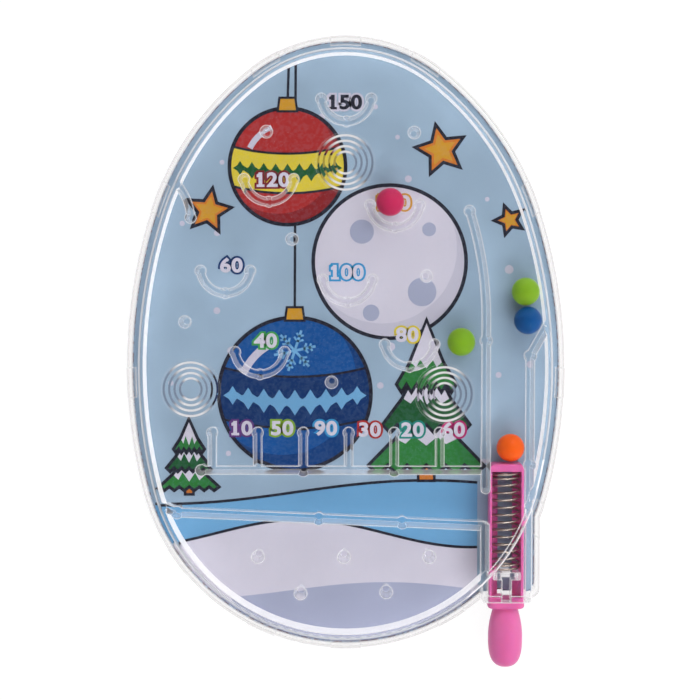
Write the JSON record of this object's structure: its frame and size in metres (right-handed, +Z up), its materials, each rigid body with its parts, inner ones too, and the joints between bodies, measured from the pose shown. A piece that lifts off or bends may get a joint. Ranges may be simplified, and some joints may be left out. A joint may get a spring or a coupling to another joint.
{
  "type": "tabletop pinball game",
  "caption": "Egg-shaped pocket pinball game: clear case with moulded cups, bins and lane over a printed card, a spring plunger and loose balls.",
  "frame": {"origin": "on the case's flat underside, on its centre line, at the widest line of the egg", "axes": "+Z up through the field, +Y to the crown of the egg, +X to the plunger's side"},
  "size_m": [0.0944, 0.1359, 0.0098],
  "materials": {
    "clear_tray": "clear polished",
    "clear_cover": "clear polished",
    "clear_ribs": "clear polished",
    "card": "printed semi-gloss card",
    "plunger_pink": "satin",
    "spring_wire": "bright wire",
    "ball_pink": "satin",
    "ball_green": "satin",
    "ball_blue": "satin",
    "ball_orange": "satin"
  },
  "bodies": {
    "case": {"base_tray": "clear_tray", "printed_card": "card", "cover_top": "clear_cover", "cover_wall": "clear_cover", "launch_lane_wall": "clear_ribs", "lane_guard": "clear_ribs", "scoring_rack": "clear_ribs", "return_wall": "clear_ribs", "deflector": "clear_ribs", "cup_150": "clear_ribs", "cup_120": "clear_ribs", "cup_110": "clear_ribs", "cup_60": "clear_ribs", "cup_100": "clear_ribs", "cup_40": "clear_ribs", "cup_80": "clear_ribs", "field_pins": "clear_ribs", "support_posts": "clear_ribs", "spring_stop": "clear_ribs", "spring": "spring_wire"},
    "plunger": {"plunger": "plunger_pink"},
    "ball_pink": {"ball_pink": "ball_pink"},
    "ball_green": {"ball_green": "ball_green"},
    "ball_lime": {"ball_lime": "ball_green"},
    "ball_blue": {"ball_blue": "ball_blue"},
    "ball_orange": {"ball_orange": "ball_orange"}
  },
  "joints": [
    {"name": "plunger_pull", "type": "slide", "parent": "case", "child": "plunger", "axis": [0, -1, 0], "range_m": [0, 0.012], "stiffness_N_per_m": 120, "springref_m": -0.004, "deforming": ["spring"]},
    {"name": "orange_launch", "type": "slide", "parent": "case", "child": "ball_orange", "axis": [0, 1, 0], "range_m": [0, 0.014]},
    {"name": "blue_roll", "type": "slide", "parent": "case", "child": "ball_blue", "axis": [-0.6057, -0.7957, 0], "range_m": [0, 0.0085]},
    {"name": "lime_roll", "type": "slide", "parent": "case", "child": "ball_lime", "axis": [-0.2366, 0.9716, 0], "range_m": [0, 0.014]},
    {"name": "pink_roll", "type": "slide", "parent": "case", "child": "ball_pink", "axis": [0, 1, 0], "range_m": [0, 0.016]},
    {"name": "green_roll", "type": "slide", "parent": "case", "child": "ball_green", "axis": [0, 1, 0], "range_m": [-0.022, 0.016]}
  ]
}
